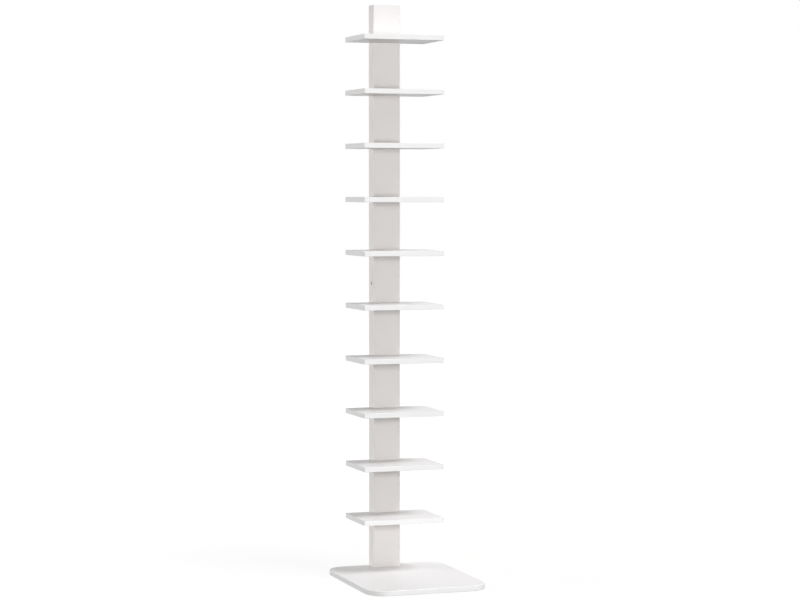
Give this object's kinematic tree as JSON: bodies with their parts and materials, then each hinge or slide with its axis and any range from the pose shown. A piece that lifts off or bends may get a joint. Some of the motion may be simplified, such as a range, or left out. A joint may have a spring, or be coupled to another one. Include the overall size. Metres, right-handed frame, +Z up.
{
  "type": "spine bookshelf",
  "caption": "Tall narrow floor bookshelf: a slim hollow column on a round-cornered base plate, with equal shelves notched round its front and bolted from behind.",
  "frame": {"origin": "on the floor, at the centre of the base plate's width and depth", "axes": "+Z up, -Y the front where the shelves reach out and the base plate runs forward, +X to the right seen from the front; the column stands at the back"},
  "size_m": [0.368, 0.452, 1.722],
  "materials": {
    "white_board": "white melamine-faced chipboard, smooth satin",
    "white_edge_band": "white 2 mm plastic edge band glued to the boards' edges, its outer edges rounded, satin",
    "white_column": "board folded into a box and wrapped in smooth white foil, satin",
    "core_wood": "raw plywood blocks, hidden inside the column",
    "dowel_wood": "turned beech, hidden",
    "cap_plastic": "white moulded push-in covers",
    "zinc_steel": "zinc-plated bolts and nuts"
  },
  "bodies": {
    "root": {"base_board": "white_board", "shelf_01": "white_board", "shelf_02": "white_board", "shelf_03": "white_board", "shelf_04": "white_board", "shelf_05": "white_board", "shelf_06": "white_board", "shelf_07": "white_board", "shelf_08": "white_board", "shelf_09": "white_board", "shelf_10": "white_board", "base_edge_band": "white_edge_band", "shelf_edge_band_01": "white_edge_band", "shelf_edge_band_02": "white_edge_band", "shelf_edge_band_03": "white_edge_band", "shelf_edge_band_04": "white_edge_band", "shelf_edge_band_05": "white_edge_band", "shelf_edge_band_06": "white_edge_band", "shelf_edge_band_07": "white_edge_band", "shelf_edge_band_08": "white_edge_band", "shelf_edge_band_09": "white_edge_band", "shelf_edge_band_10": "white_edge_band", "column_lower": "white_column", "column_upper": "white_column", "top_plug": "white_column", "foot_block": "core_wood", "splice_block": "core_wood", "core_block_01": "core_wood", "core_block_02": "core_wood", "core_block_03": "core_wood", "core_block_04": "core_wood", "core_block_06": "core_wood", "core_block_07": "core_wood", "core_block_08": "core_wood", "core_block_09": "core_wood", "core_block_10": "core_wood", "dowels": "dowel_wood", "bolt_caps": "cap_plastic", "base_bolts": "zinc_steel", "base_inserts": "zinc_steel", "splice_bolt": "zinc_steel", "splice_nut": "zinc_steel", "shelf_bolts": "zinc_steel", "barrel_nuts": "zinc_steel"}
  },
  "joints": []
}
